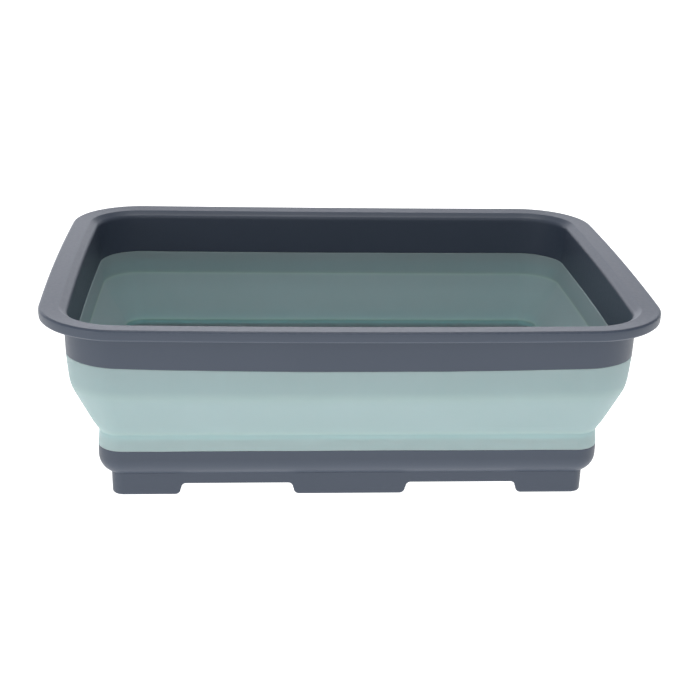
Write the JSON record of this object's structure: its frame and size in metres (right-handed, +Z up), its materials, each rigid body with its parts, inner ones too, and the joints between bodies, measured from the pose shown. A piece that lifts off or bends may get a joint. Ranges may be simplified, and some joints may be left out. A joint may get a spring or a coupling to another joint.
{
  "type": "collapsible storage crate",
  "caption": "Shallow rectangular tub with rounded corners, a hard flanged rim, a hard base on a notched foot skirt, and a soft wall between them that folds flat.",
  "frame": {"origin": "centre of the plan, on the plane that the feet stand on", "axes": "+X along the long side, +Y towards the back, +Z up out of the open top"},
  "size_m": [0.38, 0.29, 0.123],
  "materials": {
    "rim_plastic": "satin moulded polypropylene, dark slate grey",
    "wall_rubber": "matte moulded thermoplastic rubber, pale sage green",
    "base_plastic": "satin moulded polypropylene, dark slate grey"
  },
  "bodies": {
    "base": {"base_tray": "base_plastic", "foot_skirt": "base_plastic", "lower_wall_band": "wall_rubber"},
    "rim": {"top_rim": "rim_plastic", "upper_wall_band": "wall_rubber"},
    "fold_ring_1": {"fold_ring_1": "wall_rubber"},
    "fold_ring_2": {"fold_ring_2": "wall_rubber"},
    "fold_ring_3": {"fold_ring_3": "wall_rubber"},
    "fold_ring_4": {"fold_ring_4": "wall_rubber"}
  },
  "joints": [
    {"name": "rim_slide", "type": "slide", "parent": "base", "child": "rim", "axis": [0, 0, -1], "range_m": [0, 0.056]},
    {"name": "fold_ring_1_slide", "type": "slide", "parent": "base", "child": "fold_ring_1", "axis": [0, 0, -1], "range_m": [0, 0.0403]},
    {"name": "fold_ring_2_slide", "type": "slide", "parent": "base", "child": "fold_ring_2", "axis": [0, 0, -1], "range_m": [0, 0.0289]},
    {"name": "fold_ring_3_slide", "type": "slide", "parent": "base", "child": "fold_ring_3", "axis": [0, 0, -1], "range_m": [0, 0.0176]},
    {"name": "fold_ring_4_slide", "type": "slide", "parent": "base", "child": "fold_ring_4", "axis": [0, 0, -1], "range_m": [0, 0.0064]}
  ],
  "couplings": [
    {"joint": "fold_ring_1_slide", "follows": "rim_slide", "ratio": 0.71},
    {"joint": "fold_ring_2_slide", "follows": "rim_slide", "ratio": 0.508},
    {"joint": "fold_ring_3_slide", "follows": "rim_slide", "ratio": 0.306},
    {"joint": "fold_ring_4_slide", "follows": "rim_slide", "ratio": 0.105}
  ]
}
